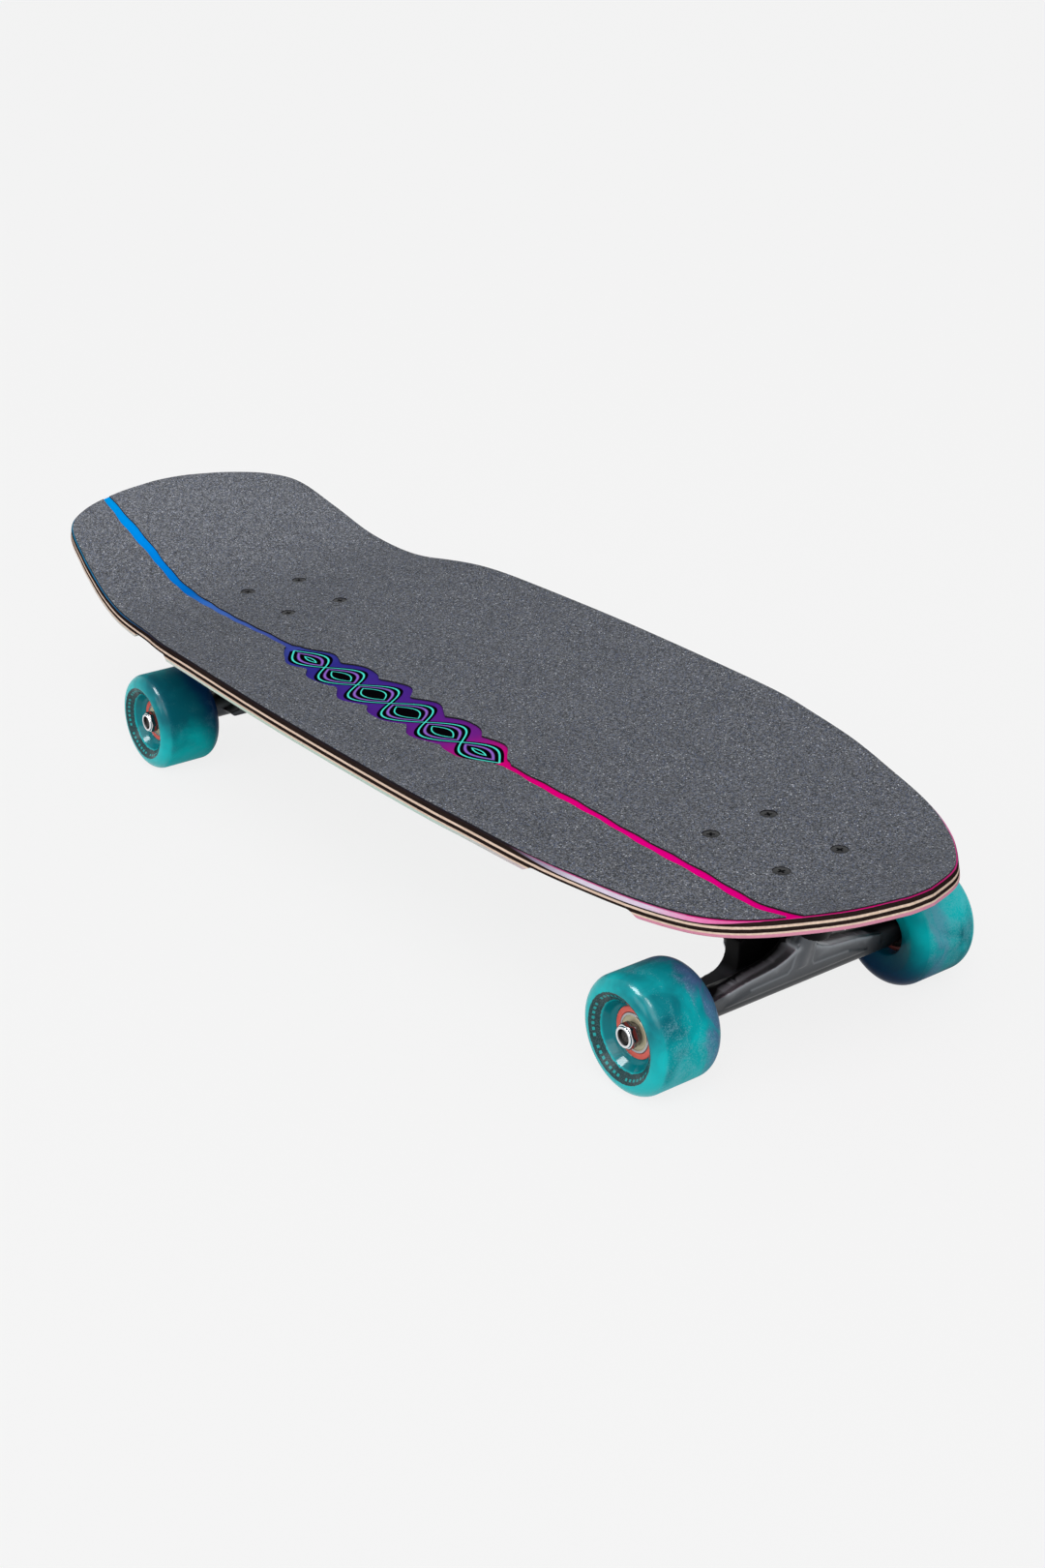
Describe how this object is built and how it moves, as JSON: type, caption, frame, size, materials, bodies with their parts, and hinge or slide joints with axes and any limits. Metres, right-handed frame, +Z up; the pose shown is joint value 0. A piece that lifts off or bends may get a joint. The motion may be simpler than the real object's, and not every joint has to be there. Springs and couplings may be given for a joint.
{
  "type": "cruiser skateboard",
  "caption": "Cruiser skateboard: concave deck with a pointed nose, kicktail and wheel wells, black grip, sprung kingpin trucks and soft marbled teal wheels.",
  "frame": {"origin": "on the ground under the middle of the board: halfway along its length and on its centre line", "axes": "+X to the rider's right, the side nearer the camera in the picture; +Y to the pointed nose; +Z up"},
  "size_m": [0.2684, 0.7684, 0.1483],
  "materials": {
    "maple": "varnished, dyed plies",
    "grit": "coarse grit",
    "truck_black": "satin black paint on cast aluminium",
    "chrome": "polished",
    "black_steel": "black oxide",
    "urethane": "glossy, marbled teal and blue",
    "core_coral": "semi-gloss",
    "bearing_cream": "steel with a cream shield",
    "bushing_black": "matt"
  },
  "bodies": {
    "board": {"deck": "maple", "grip_tape": "grit", "front_riser_pad": "bushing_black", "front_baseplate": "truck_black", "front_pivot_cup": "bushing_black", "front_kingpin": "black_steel", "front_kingpin_nut": "chrome", "front_bushing_board": "bushing_black", "front_bushing_road": "bushing_black", "front_washer_board": "chrome", "front_washer_road": "chrome", "front_bolt_outer_right": "black_steel", "front_bolt_outer_left": "black_steel", "front_bolt_inner_right": "black_steel", "front_bolt_inner_left": "black_steel", "front_bolt_nut_outer_right": "black_steel", "front_bolt_nut_outer_left": "black_steel", "front_bolt_nut_inner_right": "black_steel", "front_bolt_nut_inner_left": "black_steel", "rear_riser_pad": "bushing_black", "rear_baseplate": "truck_black", "rear_pivot_cup": "bushing_black", "rear_kingpin": "black_steel", "rear_kingpin_nut": "chrome", "rear_bushing_board": "bushing_black", "rear_bushing_road": "bushing_black", "rear_washer_board": "chrome", "rear_washer_road": "chrome", "rear_bolt_outer_right": "black_steel", "rear_bolt_outer_left": "black_steel", "rear_bolt_inner_right": "black_steel", "rear_bolt_inner_left": "black_steel", "rear_bolt_nut_outer_right": "black_steel", "rear_bolt_nut_outer_left": "black_steel", "rear_bolt_nut_inner_right": "black_steel", "rear_bolt_nut_inner_left": "black_steel"},
    "front_truck": {"front_hanger": "truck_black", "front_axle": "chrome", "front_right_axle_nut": "chrome", "front_left_axle_nut": "chrome"},
    "rear_truck": {"rear_hanger": "truck_black", "rear_axle": "chrome", "rear_right_axle_nut": "chrome", "rear_left_axle_nut": "chrome"},
    "front_right_wheel": {"front_right_tyre": "urethane", "front_right_core": "core_coral", "front_right_bearing_outer": "bearing_cream", "front_right_bearing_inner": "bearing_cream"},
    "front_left_wheel": {"front_left_tyre": "urethane", "front_left_core": "core_coral", "front_left_bearing_outer": "bearing_cream", "front_left_bearing_inner": "bearing_cream"},
    "rear_right_wheel": {"rear_right_tyre": "urethane", "rear_right_core": "core_coral", "rear_right_bearing_outer": "bearing_cream", "rear_right_bearing_inner": "bearing_cream"},
    "rear_left_wheel": {"rear_left_tyre": "urethane", "rear_left_core": "core_coral", "rear_left_bearing_outer": "bearing_cream", "rear_left_bearing_inner": "bearing_cream"}
  },
  "joints": [
    {"name": "front_steer", "type": "hinge", "parent": "board", "child": "front_truck", "pos_m": [0, 0.2651, 0.04822], "axis": [0, 0.8904, 0.4551], "range_deg": [-15, 15], "stiffness_Nm_per_rad": 90, "deforming": ["front_bushing_board", "front_bushing_road"]},
    {"name": "rear_steer", "type": "hinge", "parent": "board", "child": "rear_truck", "pos_m": [0, -0.1911, 0.04822], "axis": [0, -0.8904, 0.4551], "range_deg": [-15, 15], "stiffness_Nm_per_rad": 90, "deforming": ["rear_bushing_board", "rear_bushing_road"]},
    {"name": "front_right_spin", "type": "hinge", "parent": "front_truck", "child": "front_right_wheel", "pos_m": [0.0928, 0.2929, 0.03272], "axis": [1, 0, 0], "continuous": true},
    {"name": "front_left_spin", "type": "hinge", "parent": "front_truck", "child": "front_left_wheel", "pos_m": [-0.0928, 0.2929, 0.03272], "axis": [1, 0, 0], "continuous": true},
    {"name": "rear_right_spin", "type": "hinge", "parent": "rear_truck", "child": "rear_right_wheel", "pos_m": [0.0928, -0.2189, 0.03272], "axis": [1, 0, 0], "continuous": true},
    {"name": "rear_left_spin", "type": "hinge", "parent": "rear_truck", "child": "rear_left_wheel", "pos_m": [-0.0928, -0.2189, 0.03272], "axis": [1, 0, 0], "continuous": true}
  ]
}
